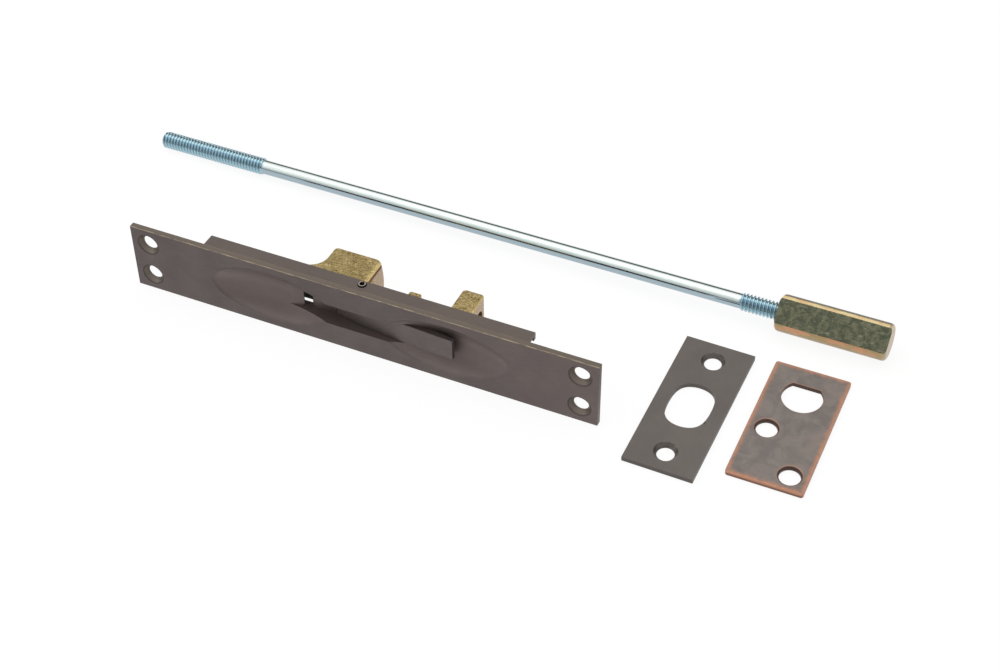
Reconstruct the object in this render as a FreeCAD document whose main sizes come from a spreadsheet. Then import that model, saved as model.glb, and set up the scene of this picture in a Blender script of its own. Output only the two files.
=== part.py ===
import FreeCAD, Part
import math
import os
import re
import Sketcher
from FreeCAD import Placement, Rotation, Vector

# Lever flush bolt for the edge of a door, laid out as a set: the bolt body with its
# flip lever and slide, the threaded rod with its bolt head, the strike and the guide.
# Lengths are in millimetres and angles in degrees.
#
# The bolt body lies on its long edge. Its sketches share one frame: X runs along the
# plate from the lever's pin, Y runs from the front of the plate into the door, and Z
# runs across the plate from its middle.

SIZES = {
    # face plate with its channel
    "plate_length": 171.45,
    "plate_width": 25.4,
    "plate_thickness": 2.1,
    "screw_edge": 6.35,
    "screw_spacing": 13.1,
    "screw_head": 7.9,
    "screw_clearance": 5.3,
    "sink_angle": 82,
    "channel_left": 58.1,
    "channel_right": 60.9,
    "channel_inset": 0.35,
    "channel_depth": 7.35,
    "channel_wall": 1.0,
    "lip_thickness": 1.4,
    "lip_reach": 2.6,
    "dish_offset": 32.3,
    "dish_half_length": 23.2,
    "dish_half_width": 10.2,
    "dish_depth": 4.5,
    "dish_wall": 1.2,
    "rail_half_length": 24.6,
    "rail_wall": 2.3,
    "rail_back_gap": 0.1,
    "rest_start": 14.5,
    "rest_end": 20.9,
    "rest_gap": 0.3,
    "rest_round": 1.6,
    # lever and its pin
    "pin_diameter": 2.6,
    "pin_wall": 0.5,
    "pin_slit": 0.7,
    "pin_depth": 5.42,
    "pin_proud": 0.5,
    "pin_fit": 0.02,
    "lever_width": 8.0,
    "lever_side_gap": 0.1,
    "lever_bore_gap": 0.05,
    "lever_reach": 34.8,
    "lever_hub_half": 2.52,
    "lever_front_half": 1.96,
    "lever_knee": 14.3,
    "lever_tip_half": 0.8,
    "lever_rest_angle": 6.7,
    "arm_half": 1.4,
    "arm_gap": 2.2,
    "slot_half_length": 22.2,
    "ramp_gap": 0.3,
    # slide
    "throw": 19.05,
    "slide_gap": 0.3,
    "slide_left": 35.7,
    "slide_right": 35.95,
    "slide_thickness": 1.8,
    "slide_width": 18.6,
    "foot_front_gap": 2.3,
    "foot_neck": 2.4,
    "foot_side_gap": 0.35,
    "foot_left_length": 14.5,
    "foot_right_start": 2.3,
    "rib_width": 12.7,
    "rib_back": 13.0,
    "rib_floor": 10.5,
    "window_left": 30.7,
    "window_right": 12.8,
    "block_left": 20.5,
    "block_right": 2.0,
    "block_back": 25.0,
    "block_round_left": 1.3,
    "block_round_right": 3.4,
    "block_fillet_left": 6.4,
    "block_fillet_right": 3.5,
    "cavity_depth": 19.0,
    "cavity_side_gap": 0.3,
    "nub_left": 12.5,
    "nub_length": 4.4,
    "nub_back": 15.0,
    "nub_round": 0.8,
    "end_block_length": 7.65,
    "end_block_back": 23.0,
    "end_block_round": 1.3,
    "rod_hole_depth": 18.2,
    # rod and bolt head
    "thread_diameter": 6.2,
    "thread_minor": 5.1,
    "thread_bevel": 0.7,
    "thread_long": 43.0,
    "thread_short": 13.3,
    "thread_inside": 12.0,
    "thread_gap": 0.02,
    "shank_diameter": 5.8,
    "rod_visible": 240.25,
    "head_diameter": 12.7,
    "head_length": 38.1,
    "head_flat": 4.15,
    "head_flat_turn": 40,
    "head_round": 1.4,
    "head_bore_spare": 2.0,
    # strike
    "strike_width": 23.81,
    "strike_length": 57.15,
    "strike_thickness": 1.8,
    "strike_hole_radius": 9.5,
    "strike_flat": 7.6,
    "strike_hole_round": 2.0,
    "strike_screw_spacing": 42.1,
    "strike_screw_head": 8.0,
    "strike_screw_clearance": 5.8,
    # guide
    "guide_width": 25.4,
    "guide_length": 50.8,
    "guide_thickness": 1.8,
    "guide_corner": 0.9,
    "guide_bore_radius": 6.75,
    "guide_flat": 4.9,
    "guide_bore_edge": 12.2,
    "guide_screw_head": 8.05,
    "guide_screw_clearance": 6.95,
    "guide_screw_a_side": 6.4,
    "guide_screw_a_end": 28.95,
    "guide_screw_b_side": 6.15,
    "guide_screw_b_end": 6.0,
    # places of the pieces in the layout, from the middle of the set
    "body_x": -23.32,
    "body_y": -30.216,
    "rod_x": -139.175,
    "rod_y": 37.105,
    "rod_swing": 0.625,
    "strike_x": 87.015,
    "strike_y": -12.076,
    "strike_turn": 0.8,
    "guide_x": 118.995,
    "guide_y": -8.106,
}

doc = FreeCAD.newDocument("LeverFlushBolt")
sheet = doc.addObject("Spreadsheet::Sheet", "Sizes")
for row, (name, number) in enumerate(SIZES.items(), 1):
    sheet.set("A%d" % row, name)
    sheet.set("B%d" % row, str(number))
    sheet.setAlias("B%d" % row, name)
doc.recompute()


def bound(text):
    """The expression with each size written as a cell of the sheet."""
    return re.sub(r"[a-z_]+", lambda word: "Sizes." + word.group() if word.group() in SIZES else word.group(), text)


def value(text):
    """The number that an expression has now."""
    number = sheet.evalExpression(bound(text))
    return float(getattr(number, "Value", number))


def sketch(body, name, role, x="0", y="0", lift="0", turn="0"):
    """An empty sketch on an origin plane of its body, shifted in it, lifted off it and turned clockwise."""
    made = body.newObject("Sketcher::SketchObject", name)
    plane = [item for item in body.Origin.OriginFeatures if item.Role == role][0]
    made.AttachmentSupport = [(plane, "")]
    made.MapMode = "FlatFace"
    made.AttachmentOffset = Placement(Vector(), Rotation(Vector(0, 0, -1), value(turn)))
    for path, text in (("Base.x", x), ("Base.y", y), ("Base.z", lift), ("Rotation.Angle", turn)):
        if text != "0":
            made.setExpression("AttachmentOffset." + path, bound(text))
    return made


def limit(made, kind, text, *ends):
    """A dimension of the sketch that follows the expression."""
    number = made.addConstraint(Sketcher.Constraint(kind, *ends, value(text)))
    made.setExpression("Constraints[%d]" % number, bound(text))


def hold(made, item, end, x, y):
    """Hold a point of the sketch at its distances from the sketch's origin."""
    for kind, axis, text in (("DistanceX", -2, x), ("DistanceY", -1, y)):
        if text == "0":
            made.addConstraint(Sketcher.Constraint("PointOnObject", item, end, axis))
        elif text:
            limit(made, kind, text, -1, 1, item, end)


def outline(made, corners):
    """A closed outline of straight lines through the corners."""
    points = [Vector(value(x), value(y), 0) for x, y in corners]
    first = made.GeometryCount
    count = len(points)
    for place in range(count):
        made.addGeometry(Part.LineSegment(points[place], points[(place + 1) % count]))
    for place, (x, y) in enumerate(corners):
        made.addConstraint(Sketcher.Constraint("Coincident", first + (place - 1) % count, 2, first + place, 1))
        hold(made, first + place, 1, x, y)


def rectangle(made, left, bottom, right, top):
    """A closed outline with its sides along the axes."""
    outline(made, [(left, bottom), (right, bottom), (right, top), (left, top)])


def profile(made, corners):
    """A closed outline of lines along the axes; a corner with a third value is rounded to that radius."""
    count = len(corners)
    points = [Vector(value(corner[0]), value(corner[1]), 0) for corner in corners]
    radii = [value(corner[2]) if len(corner) > 2 else 0 for corner in corners]
    ways = [(points[(place + 1) % count] - points[place]).normalize() for place in range(count)]
    lines = []
    for place in range(count):
        start = points[place] + ways[place] * radii[place]
        end = points[(place + 1) % count] - ways[place] * radii[(place + 1) % count]
        lines.append(made.addGeometry(Part.LineSegment(start, end)))
    for place, corner in enumerate(corners):
        before, after = lines[place - 1], lines[place]
        if len(corner) > 2:
            way_in, way_out = ways[place - 1], ways[place]
            centre = points[place] + (way_out - way_in) * radii[place]
            first = points[place] - way_in * radii[place] - centre
            last = points[place] + way_out * radii[place] - centre
            left_turn = way_in.cross(way_out).z > 0
            if not left_turn:
                first, last = last, first
            start = math.atan2(first.y, first.x)
            circle_now = Part.Circle(centre, Vector(0, 0, 1), radii[place])
            arc = made.addGeometry(Part.ArcOfCircle(circle_now, start, start + math.pi / 2))
            made.addConstraint(Sketcher.Constraint("Tangent", before, 2, arc, 1 if left_turn else 2))
            made.addConstraint(Sketcher.Constraint("Tangent", arc, 2 if left_turn else 1, after, 1))
            limit(made, "Radius", corner[2], arc)
        else:
            made.addConstraint(Sketcher.Constraint("Coincident", before, 2, after, 1))
        level = abs(ways[place].y) < 0.5
        made.addConstraint(Sketcher.Constraint("Horizontal" if level else "Vertical", after))
        hold(made, after, 1, None if level else corner[0], corner[1] if level else None)


def circle(made, x, y, radius):
    """A circle of the sketch."""
    item = made.addGeometry(Part.Circle(Vector(value(x), value(y), 0), Vector(0, 0, 1), value(radius)))
    hold(made, item, 3, x, y)
    limit(made, "Radius", radius, item)


def cut_circle(made, radius, flats):
    """A circle about the sketch's origin, cut straight by one or two level chords: above, and below."""
    size = value(radius)
    rise = [value(flats[0]), -value(flats[1]) if len(flats) > 1 else -size]
    upper = math.asin(rise[0] / size)
    lower = math.asin(rise[1] / size)
    spans = [(lower, upper), (math.pi - upper, math.pi - lower)]
    if len(flats) == 1:
        spans = [(math.pi - upper, 2 * math.pi + upper)]
    arcs = []
    for start, end in spans:
        arcs.append(made.addGeometry(Part.ArcOfCircle(Part.Circle(Vector(), Vector(0, 0, 1), size), start, end)))
        made.addConstraint(Sketcher.Constraint("Coincident", arcs[-1], 3, -1, 1))
        limit(made, "Radius", radius, arcs[-1])
    ends = [((arcs[-1], 1), (arcs[0], 2)), ((arcs[0], 1), (arcs[-1], 2))]
    for place, flat in enumerate(flats):
        tall = rise[place]
        half = math.sqrt(size * size - tall * tall)
        sign = 1 if place else -1
        line = made.addGeometry(Part.LineSegment(Vector(sign * half, tall, 0), Vector(-sign * half, tall, 0)))
        for end, (arc, arc_end) in zip((1, 2), ends[place]):
            made.addConstraint(Sketcher.Constraint("Coincident", line, end, arc, arc_end))
        made.addConstraint(Sketcher.Constraint("Horizontal", line))
        hold(made, line, 1, None, flat if place == 0 else "-" + flat)


def pad(body, name, made, length, away=False, both=False):
    """Material of the sketch's outline, along its normal, against it, or to both sides."""
    feature = body.newObject("PartDesign::Pad", name)
    feature.Profile = made
    feature.setExpression("Length", bound(length))
    feature.Reversed = away
    feature.SideType = "Symmetric" if both else "One side"
    return feature


def pocket(body, name, made, length, away=False, both=False):
    """Material removed from the sketch against its normal, along it, or to both sides."""
    feature = body.newObject("PartDesign::Pocket", name)
    feature.Profile = made
    feature.setExpression("Length", bound(length))
    feature.Reversed = away
    feature.SideType = "Symmetric" if both else "One side"
    return feature


def turned(body, kind, name, made):
    """The sketch's outline turned about its first construction line."""
    feature = body.newObject(kind, name)
    feature.Profile = made
    feature.ReferenceAxis = (made, ["Axis0"])
    feature.Angle = 360
    return feature


def screw_holes(body, name, made, head, clearance):
    """Countersunk through holes at the circles of the sketch, sunk from the sketch's side."""
    doc.recompute()
    feature = body.newObject("PartDesign::Hole", name)
    feature.Profile = made
    feature.DepthType = "ThroughAll"
    feature.HoleCutType = "Countersink"
    feature.HoleCutCustomValues = True
    feature.setExpression("Diameter", bound(clearance))
    feature.setExpression("HoleCutDiameter", bound(head))
    feature.setExpression("HoleCutCountersinkAngle", bound("sink_angle"))
    return feature


def piece(name):
    """An empty body named after its piece."""
    body = doc.addObject("PartDesign::Body", name)
    body.Label = name
    return body


def place(body, x, y, z, axis, angle):
    """Put the body in the layout, turned about an axis through its own origin."""
    body.Placement = Placement(Vector(value(x), value(y), value(z)), Rotation(axis, value(angle)))
    for path, text in (("Base.x", x), ("Base.y", y), ("Base.z", z), ("Rotation.Angle", angle)):
        body.setExpression("Placement." + path, bound(text))


# The body leans back on the lower back edges of its plate and of its channel.
LEAN = "atan(channel_inset / (channel_depth - plate_thickness))"
HALF = "plate_width / 2"


def lean(body):
    """Put a piece of the bolt body in the layout."""
    rise = "(%s) * cos(%s) + plate_thickness * sin(%s)" % (HALF, LEAN, LEAN)
    place(body, "body_x", "body_y + (%s) * sin(%s)" % (HALF, LEAN), rise, Vector(-1, 0, 0), LEAN)


# Face plate: one casting. The two finger dishes are spindles turned about an axis in
# front of the plate, and their backs bulge into the channel by one wall.
DISH_ARC = "((dish_half_length ^ 2 + dish_depth ^ 2) / (2 * dish_depth))"
DISH_TURN = "((dish_half_width ^ 2 + dish_depth ^ 2) / (2 * dish_depth))"
DISH_AXIS = "(dish_depth - %s)" % DISH_TURN
DISH_CENTRE = "(dish_depth - %s)" % DISH_ARC


def spindle(made, wall):
    """Half of a dish spindle: the axis, and the arc that the dish's floor follows."""
    size = value(DISH_ARC + " + " + wall)
    centre = Vector(value("dish_offset"), value(DISH_CENTRE), 0)
    level = value(DISH_AXIS)
    half = math.sqrt(size ** 2 - (level - centre.y) ** 2)
    start = math.atan2(level - centre.y, half)
    axis = made.addGeometry(Part.LineSegment(Vector(centre.x - half, level, 0), Vector(centre.x + half, level, 0)), True)
    chord = made.addGeometry(Part.LineSegment(Vector(centre.x - half, level, 0), Vector(centre.x + half, level, 0)))
    arc = made.addGeometry(Part.ArcOfCircle(Part.Circle(centre, Vector(0, 0, 1), size), start, math.pi - start))
    made.addConstraint(Sketcher.Constraint("Coincident", axis, 1, chord, 1))
    made.addConstraint(Sketcher.Constraint("Coincident", axis, 2, chord, 2))
    made.addConstraint(Sketcher.Constraint("Coincident", chord, 1, arc, 2))
    made.addConstraint(Sketcher.Constraint("Coincident", chord, 2, arc, 1))
    hold(made, arc, 3, "dish_offset", DISH_CENTRE)
    limit(made, "Radius", DISH_ARC + " + " + wall, arc)
    made.addConstraint(Sketcher.Constraint("Horizontal", chord))
    hold(made, chord, 1, None, DISH_AXIS)


face = piece("face_plate")
bulge = sketch(face, "DishBack", "XY_Plane")
spindle(bulge, "dish_wall")
turned(face, "PartDesign::Revolution", "DishBacks", bulge)
front = sketch(face, "FrontClear", "XZ_Plane", lift="-plate_thickness / 2")
rectangle(front, "-plate_length", "-plate_length", "plate_length", "plate_length")
pocket(face, "FrontCleared", front, "plate_length", away=True)
mirrored = face.newObject("PartDesign::Mirrored", "DishBackPair")
mirrored.Originals = [doc.getObject("DishBacks"), doc.getObject("FrontCleared")]
mirrored.MirrorPlane = ([item for item in face.Origin.OriginFeatures if item.Role == "YZ_Plane"][0], [""])
face.Tip = mirrored
doc.recompute()

plate = sketch(face, "PlateOutline", "XZ_Plane")
rectangle(plate, "-plate_length / 2", "-plate_width / 2", "plate_length / 2", "plate_width / 2")
pad(face, "Plate", plate, "plate_thickness", away=True)

WALL_OUT = "(plate_width / 2 - channel_inset)"
walls = sketch(face, "ChannelSection", "YZ_Plane", lift="-channel_left")
for side in ("", "-"):
    outer = side + WALL_OUT
    inner = side + "(plate_width / 2 - channel_inset - channel_wall)"
    lip = side + "(plate_width / 2 - channel_inset - lip_reach)"
    hook = "channel_depth - lip_thickness"
    outline(walls, [("plate_thickness / 2", outer), ("channel_depth", outer), ("channel_depth", lip),
                    (hook, lip), (hook, inner), ("plate_thickness / 2", inner)])
pad(face, "Channel", walls, "channel_left + channel_right")

SLOT_HALF = "(lever_width / 2 + lever_side_gap)"
rails = sketch(face, "RailOutlines", "XZ_Plane", lift="-plate_thickness / 2")
rectangle(rails, "-rail_half_length", SLOT_HALF, "rail_half_length", SLOT_HALF + " + rail_wall")
rectangle(rails, "-rail_half_length", "-%s - rail_wall" % SLOT_HALF, "rail_half_length", "-" + SLOT_HALF)
RAIL_BACK = "(channel_depth - rail_back_gap)"
pad(face, "PinRails", rails, RAIL_BACK + " - plate_thickness / 2", away=True)

dish = sketch(face, "DishFloor", "XY_Plane")
spindle(dish, "0")
turned(face, "PartDesign::Groove", "Dish", dish)
mirrored = face.newObject("PartDesign::Mirrored", "DishPair")
mirrored.Originals = [doc.getObject("Dish")]
mirrored.MirrorPlane = ([item for item in face.Origin.OriginFeatures if item.Role == "YZ_Plane"][0], [""])
face.Tip = mirrored
doc.recompute()

slot = sketch(face, "SlotOutline", "XZ_Plane")
rectangle(slot, "-slot_half_length", "-" + SLOT_HALF, "slot_half_length", SLOT_HALF)
pocket(face, "LeverSlot", slot, "channel_depth")

# Beyond each end of the slot a ramp of its width lets the folded lever lie in the dish.
TAPER = "((lever_hub_half - lever_tip_half) / lever_reach)"
BACK_SLOPE = "tan(lever_rest_angle * 1 deg + atan(%s))" % TAPER
ramps = sketch(face, "RampSection", "XY_Plane")
for side in ("", "-"):
    near = "slot_half_length - 1"
    far = "lever_reach"
    depth = "pin_depth + lever_hub_half + ramp_gap - (%s) * " + BACK_SLOPE
    outline(ramps, [(side + "(%s)" % near, "-1"), (side + "(%s)" % far, "-1"),
                    (side + "(%s)" % far, depth % far), (side + "(%s)" % near, depth % near)])
pocket(face, "LeverRamps", ramps, "2 * " + SLOT_HALF, both=True)

# Between the rails a bridge behind each end of the slot carries the folded lever: its
# front follows the back of the lever, and its outer end is rounded.
rests = sketch(face, "RestSection", "XY_Plane")
back_line = "(pin_depth + lever_hub_half + rest_gap - (%s) * " + BACK_SLOPE + ")"
for side in ("", "-"):
    outline(rests, [(side + "rest_start", RAIL_BACK), (side + "rest_start", back_line % "rest_start"),
                    (side + "(rest_end - rest_round)", back_line % "rest_end - rest_round"),
                    (side + "(rest_end - rest_round / 3)", back_line % "rest_end" + " + rest_round / 4"),
                    (side + "rest_end", RAIL_BACK)])
pad(face, "LeverRests", rests, "2 * %s + rail_wall" % SLOT_HALF, both=True)

pin_hole = sketch(face, "PinHole", "XY_Plane")
circle(pin_hole, "0", "pin_depth", "pin_diameter / 2 + pin_fit")
pocket(face, "PinBore", pin_hole, "plate_width", both=True)

corners = sketch(face, "PlateScrews", "XZ_Plane")
for x in ("-(plate_length / 2 - screw_edge)", "plate_length / 2 - screw_edge"):
    for z in ("-screw_spacing / 2", "screw_spacing / 2"):
        circle(corners, x, z, "screw_clearance / 2")
screw_holes(face, "PlateScrewHoles", corners, "screw_head", "screw_clearance")
lean(face)

# Flip lever: a wedge that tapers from its knee to the tip, with a hub that falls away
# to the back and a short round-ended arm. The arm's reach makes the whole flip about
# equal to the slide's throw.
ARM_REACH = "(throw / (2 * cos(lever_rest_angle)))"
lever = piece("lever")
shape = sketch(lever, "LeverSection", "XY_Plane", y="pin_depth", turn="lever_rest_angle")
tip = "lever_reach"
reach = value(ARM_REACH)
end_arc = Part.Circle(Vector(-reach, 0, 0), Vector(0, 0, 1), value("arm_half"))
corners = [("-" + ARM_REACH, "-arm_half"), ("0", "-lever_front_half"), ("lever_knee", "-lever_front_half"),
           (tip, "-lever_tip_half"), (tip, "lever_tip_half"), ("0", "lever_hub_half"), ("-" + ARM_REACH, "arm_half")]
points = [Vector(value(x), value(y), 0) for x, y in corners]
for start, end in zip(points, points[1:]):
    shape.addGeometry(Part.LineSegment(start, end))
arc = shape.addGeometry(Part.ArcOfCircle(end_arc, math.pi / 2, 3 * math.pi / 2))
for before in range(arc - 1):
    shape.addConstraint(Sketcher.Constraint("Coincident", before, 2, before + 1, 1))
shape.addConstraint(Sketcher.Constraint("Coincident", arc - 1, 2, arc, 1))
shape.addConstraint(Sketcher.Constraint("Coincident", arc, 2, 0, 1))
for number, (x, y) in enumerate(corners[:-1]):
    hold(shape, number, 1, x, y)
hold(shape, arc - 1, 2, "-" + ARM_REACH, "arm_half")
hold(shape, arc, 3, "-" + ARM_REACH, None)
pad(lever, "LeverWedge", shape, "lever_width", both=True)
bore = sketch(lever, "LeverBore", "XY_Plane", y="pin_depth")
circle(bore, "0", "0", "pin_diameter / 2 + lever_bore_gap")
pocket(lever, "LeverBored", bore, "2 * lever_width", both=True)
lean(lever)

# Pivot pin: a rolled spring pin with its slit to the back, standing a little proud of
# the top of the channel and ending inside its lower wall.
pin = piece("pivot_pin")
ring = sketch(pin, "PinRing", "XY_Plane", y="pin_depth", lift="-" + WALL_OUT)
circle(ring, "0", "0", "pin_diameter / 2")
circle(ring, "0", "0", "pin_diameter / 2 - pin_wall")
pad(pin, "PinTube", ring, "2 * %s + pin_proud" % WALL_OUT)
slit = sketch(pin, "PinSlit", "XZ_Plane", lift="-pin_depth")
rectangle(slit, "-pin_slit / 2", "-plate_width", "pin_slit / 2", "plate_width")
pocket(pin, "PinSlitCut", slit, "pin_diameter")
lean(pin)

# Slide: one rough casting behind the lips of the channel. Hooked feet hold it to the
# lips, and its rib carries the driven block, a nub and the block that takes the rod.
slide = piece("slide")
SLIDE_FRONT = "(channel_depth + slide_gap)"
SLIDE_BACK = "(channel_depth + slide_gap + slide_thickness)"
base = sketch(slide, "SlidePlate", "XZ_Plane", lift="-" + SLIDE_FRONT)
rectangle(base, "-slide_left", "-slide_width / 2", "slide_right", "slide_width / 2")
pad(slide, "SlideBase", base, "slide_thickness", away=True)

rib = sketch(slide, "RibProfile", "XY_Plane")
inside = SLIDE_BACK + " - slide_thickness / 2"
profile(rib, [
    ("-slide_left", inside), ("slide_right", inside),
    ("slide_right", "end_block_back", "end_block_round"),
    ("slide_right - end_block_length", "end_block_back", "end_block_round"),
    ("slide_right - end_block_length", "rib_back", "nub_round"),
    ("nub_left + nub_length", "rib_back"), ("nub_left + nub_length", "nub_back", "nub_round"),
    ("nub_left", "nub_back", "nub_round"), ("nub_left", "rib_back"),
    ("-block_right", "rib_back", "block_fillet_right"), ("-block_right", "block_back", "block_round_right"),
    ("-block_left", "block_back", "block_round_left"), ("-block_left", "rib_back", "block_fillet_left"),
    ("-slide_left", "rib_back"),
])
pad(slide, "RibAndBlocks", rib, "rib_width", both=True)

FOOT_IN = "(slide_width / 2 - foot_neck)"
FOOT_OUT = "(plate_width / 2 - channel_inset - channel_wall - foot_side_gap)"
for name, start, length in (("Left", "-slide_left", "foot_left_length"),
                            ("Right", "foot_right_start", "slide_right - foot_right_start")):
    foot = sketch(slide, name + "FootSection", "YZ_Plane", lift=start)
    for side in ("", "-"):
        low = "plate_thickness + foot_front_gap"
        hook = "channel_depth - lip_thickness - slide_gap"
        outline(foot, [(low, side + FOOT_IN), (SLIDE_FRONT, side + FOOT_IN), (SLIDE_FRONT, side + "(slide_width / 2)"),
                       (hook, side + "(slide_width / 2)"), (hook, side + FOOT_OUT), (low, side + FOOT_OUT)])
    pad(slide, name + "Feet", foot, length)

window = sketch(slide, "WindowOutline", "XZ_Plane")
rectangle(window, "-window_left", "-rib_width / 2", "window_right", "rib_width / 2")
pocket(slide, "LeverWindow", window, "rib_floor")

cavity = sketch(slide, "CavityOutline", "XZ_Plane")
CAVITY_HALF = "(arm_half + arm_gap)"
rectangle(cavity, "-throw / 2 - " + CAVITY_HALF, "-lever_width / 2 - cavity_side_gap",
          "-throw / 2 + " + CAVITY_HALF, "lever_width / 2 + cavity_side_gap")
pocket(slide, "ArmCavity", cavity, "cavity_depth")

tapped = sketch(slide, "RodHole", "YZ_Plane", lift="slide_right")
circle(tapped, "rod_hole_depth", "0", "thread_minor / 2")
pocket(slide, "RodHoleBore", tapped, "end_block_length")
lean(slide)

# Rod: threaded long at the slide's end and short at the head's end, at full thread
# diameter there, with a thinner rolled shank between.
rod = piece("rod")
spin = sketch(rod, "RodProfile", "XY_Plane")
last = "rod_visible + thread_inside"
axis = spin.addGeometry(Part.LineSegment(Vector(0, 0, 0), Vector(value(last), 0, 0)), True)
spin.addConstraint(Sketcher.Constraint("PointOnObject", axis, 1, -1))
spin.addConstraint(Sketcher.Constraint("PointOnObject", axis, 2, -1))
spin.addConstraint(Sketcher.Constraint("PointOnObject", axis, 1, -2))
limit(spin, "DistanceX", last, -1, 1, axis, 2)
full = "thread_diameter / 2"
neck = "shank_diameter / 2"
outline(spin, [("0", "0"), (last, "0"), (last, full + " - thread_bevel"), (last + " - thread_bevel", full),
               ("rod_visible - thread_short + thread_bevel", full), ("rod_visible - thread_short", neck),
               ("thread_long", neck), ("thread_long - thread_bevel", full),
               ("thread_bevel", full), ("0", full + " - thread_bevel")])
turned(rod, "PartDesign::Revolution", "RodTurned", spin)
RISE = "asin((head_diameter - thread_diameter) / 2 / rod_visible)"

# Bolt head: a round bar with rounded ends, one flat along it, and the rod's hole.
head = piece("bolt_head")
bar = sketch(head, "HeadProfile", "XY_Plane", x="rod_visible")
axis = bar.addGeometry(Part.LineSegment(Vector(0, 0, 0), Vector(value("head_length"), 0, 0)), True)
bar.addConstraint(Sketcher.Constraint("PointOnObject", axis, 1, -1))
bar.addConstraint(Sketcher.Constraint("PointOnObject", axis, 2, -1))
bar.addConstraint(Sketcher.Constraint("PointOnObject", axis, 1, -2))
limit(bar, "DistanceX", "head_length", -1, 1, axis, 2)
side = [("%s * (1 - cos(%d))" % ("head_round", turn), "head_diameter / 2 - head_round * (1 - sin(%d))" % turn)
        for turn in (0, 30, 60, 90)]
outline(bar, [("0", "0"), ("head_length", "0")] + [("head_length - " + x, y) for x, y in side] + side[::-1])
turned(head, "PartDesign::Revolution", "HeadTurned", bar)
hole = sketch(head, "HeadHole", "YZ_Plane", lift="rod_visible")
circle(hole, "0", "0", "thread_diameter / 2 + thread_gap")
pocket(head, "HeadBore", hole, "thread_inside + head_bore_spare", away=True)
flat = sketch(head, "HeadFlat", "YZ_Plane", lift="rod_visible", turn="-head_flat_turn")
rectangle(flat, "-head_diameter", "head_flat", "head_diameter", "head_diameter")
pocket(head, "HeadFlatCut", flat, "head_length", away=True)

for body in (rod, head):
    body.Placement = Placement(Vector(), Rotation(-value("rod_swing"), -value(RISE), 0))
    body.setExpression("Placement", bound(
        "placement(vector(rod_x; rod_y; thread_diameter / 2);"
        " rotation(vector(0; 0; 1); -rod_swing) * rotation(vector(0; 1; 0); -%s))" % RISE))

# Strike: a plain plate with a double-D bolt hole and two countersunk screws.
strike = piece("strike_plate")
body_sketch = sketch(strike, "StrikeOutline", "XY_Plane", lift="strike_thickness")
rectangle(body_sketch, "-strike_width / 2", "-strike_length / 2", "strike_width / 2", "strike_length / 2")
pad(strike, "StrikePlate", body_sketch, "strike_thickness", away=True)
bolt_hole = sketch(strike, "StrikeHole", "XY_Plane", lift="strike_thickness", turn="90")
cut_circle(bolt_hole, "strike_hole_radius", ["strike_flat", "strike_flat"])
cut = pocket(strike, "StrikeHoleCut", bolt_hole, "strike_thickness")
doc.recompute()
upright = []
for number, line in enumerate(cut.Shape.Edges, 1):
    ends = [vertex.Point for vertex in line.Vertexes]
    if len(ends) == 2 and abs(ends[0].z - ends[1].z) > 0.1 and abs(abs(ends[0].x) - value("strike_flat")) < 0.01:
        upright.append("Edge%d" % number)
eased = strike.newObject("PartDesign::Fillet", "StrikeHoleCorners")
eased.Base = (cut, upright)
eased.setExpression("Radius", bound("strike_hole_round"))
screws = sketch(strike, "StrikeScrews", "XY_Plane", lift="strike_thickness")
for end in ("strike_screw_spacing / 2", "-strike_screw_spacing / 2"):
    circle(screws, "0", end, "strike_screw_clearance / 2")
screw_holes(strike, "StrikeScrewHoles", screws, "strike_screw_head", "strike_screw_clearance")
place(strike, "strike_x", "strike_y", "0", Vector(0, 0, -1), "strike_turn")

# Guide: a plate with a D hole for the bolt and two staggered countersunk screws.
guide = piece("guide_plate")
edge = sketch(guide, "GuideOutline", "XY_Plane", lift="guide_thickness")
wide, long = "guide_width / 2", "guide_length / 2"
profile(edge, [("-" + wide, "-" + long, "guide_corner"), (wide, "-" + long, "guide_corner"),
               (wide, long, "guide_corner"), ("-" + wide, long, "guide_corner")])
pad(guide, "GuidePlate", edge, "guide_thickness", away=True)
bolt_hole = sketch(guide, "GuideHole", "XY_Plane", y=long + " - guide_bore_edge", lift="guide_thickness")
cut_circle(bolt_hole, "guide_bore_radius", ["guide_flat"])
pocket(guide, "GuideHoleCut", bolt_hole, "guide_thickness")
screws = sketch(guide, "GuideScrews", "XY_Plane", lift="guide_thickness")
circle(screws, "guide_screw_a_side - " + wide, long + " - guide_screw_a_end", "guide_screw_clearance / 2")
circle(screws, wide + " - guide_screw_b_side", "guide_screw_b_end - " + long, "guide_screw_clearance / 2")
screw_holes(guide, "GuideScrewHoles", screws, "guide_screw_head", "guide_screw_clearance")
place(guide, "guide_x", "guide_y", "0", Vector(0, 0, 1), "0")

doc.recompute()
for item in doc.Objects:
    if "Invalid" in item.State or "Error" in item.State:
        raise RuntimeError("%s did not rebuild" % item.Label)

os.makedirs("parts", exist_ok=True)
for body in (face, lever, pin, slide, rod, head, strike, guide):
    if body.Shape.isNull() or not body.Shape.isValid() or len(body.Shape.Solids) != 1:
        raise RuntimeError("%s is not one sound solid" % body.Label)
for body in (face, lever, pin, slide, rod, head, strike, guide):
    body.Shape.exportStep("parts/%s.step" % body.Label)
    box = body.Shape.BoundBox
    print("%-13s %9.1f mm3  x %8.2f %8.2f  y %7.2f %7.2f  z %6.2f %6.2f" % (
        body.Label, body.Shape.Volume, box.XMin, box.XMax, box.YMin, box.YMax, box.ZMin, box.ZMax))
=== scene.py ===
import bpy
import bmesh
import math
from mathutils import Matrix, Vector


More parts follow.
